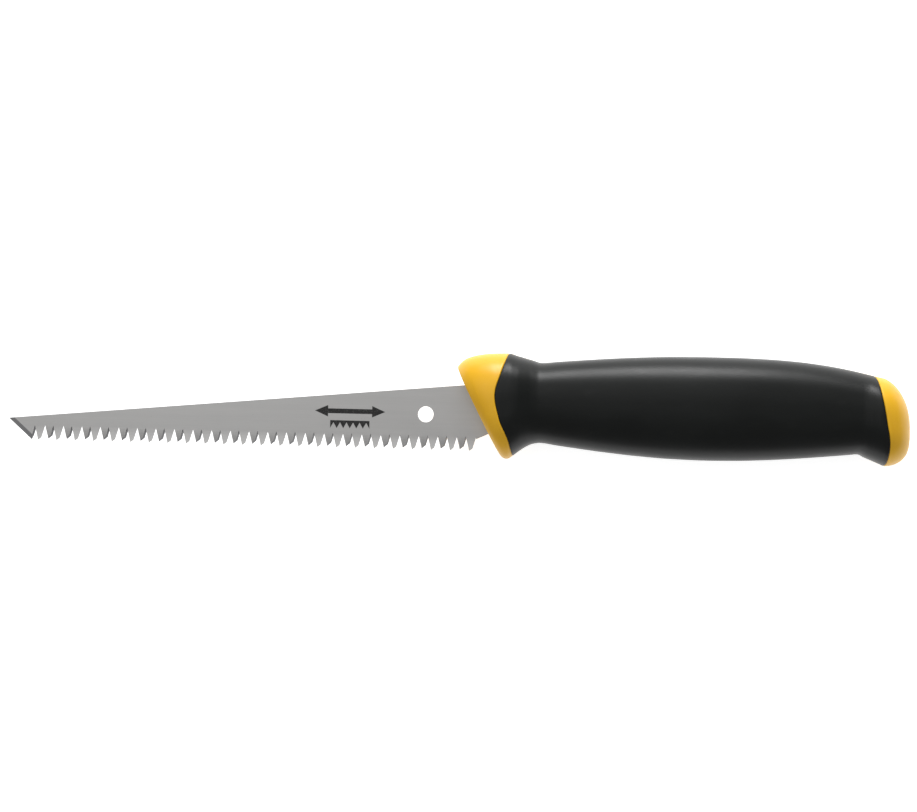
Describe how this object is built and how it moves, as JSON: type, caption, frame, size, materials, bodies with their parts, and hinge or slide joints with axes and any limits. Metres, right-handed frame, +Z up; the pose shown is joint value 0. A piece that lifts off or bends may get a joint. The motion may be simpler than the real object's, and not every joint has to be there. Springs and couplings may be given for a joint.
{
  "type": "drywall saw",
  "caption": "Pointed saw for cutting holes in plasterboard: a narrow tapered steel blade with ground teeth, moulded into a hard plastic handle with a soft rubber grip.",
  "frame": {"origin": "under the middle of the bounding box, on the surface that the saw lies on", "axes": "the saw lies on its side: +X from the blade's point towards the butt, +Y from the teeth towards the spine, +Z up, across the blade"},
  "size_m": [0.2998, 0.0352, 0.0281],
  "materials": {
    "blade_steel": "satin",
    "core_plastic": "satin",
    "grip_rubber": "matte"
  },
  "bodies": {
    "root": {"blade": "blade_steel", "handle_core": "core_plastic", "soft_grip": "grip_rubber"}
  },
  "joints": []
}
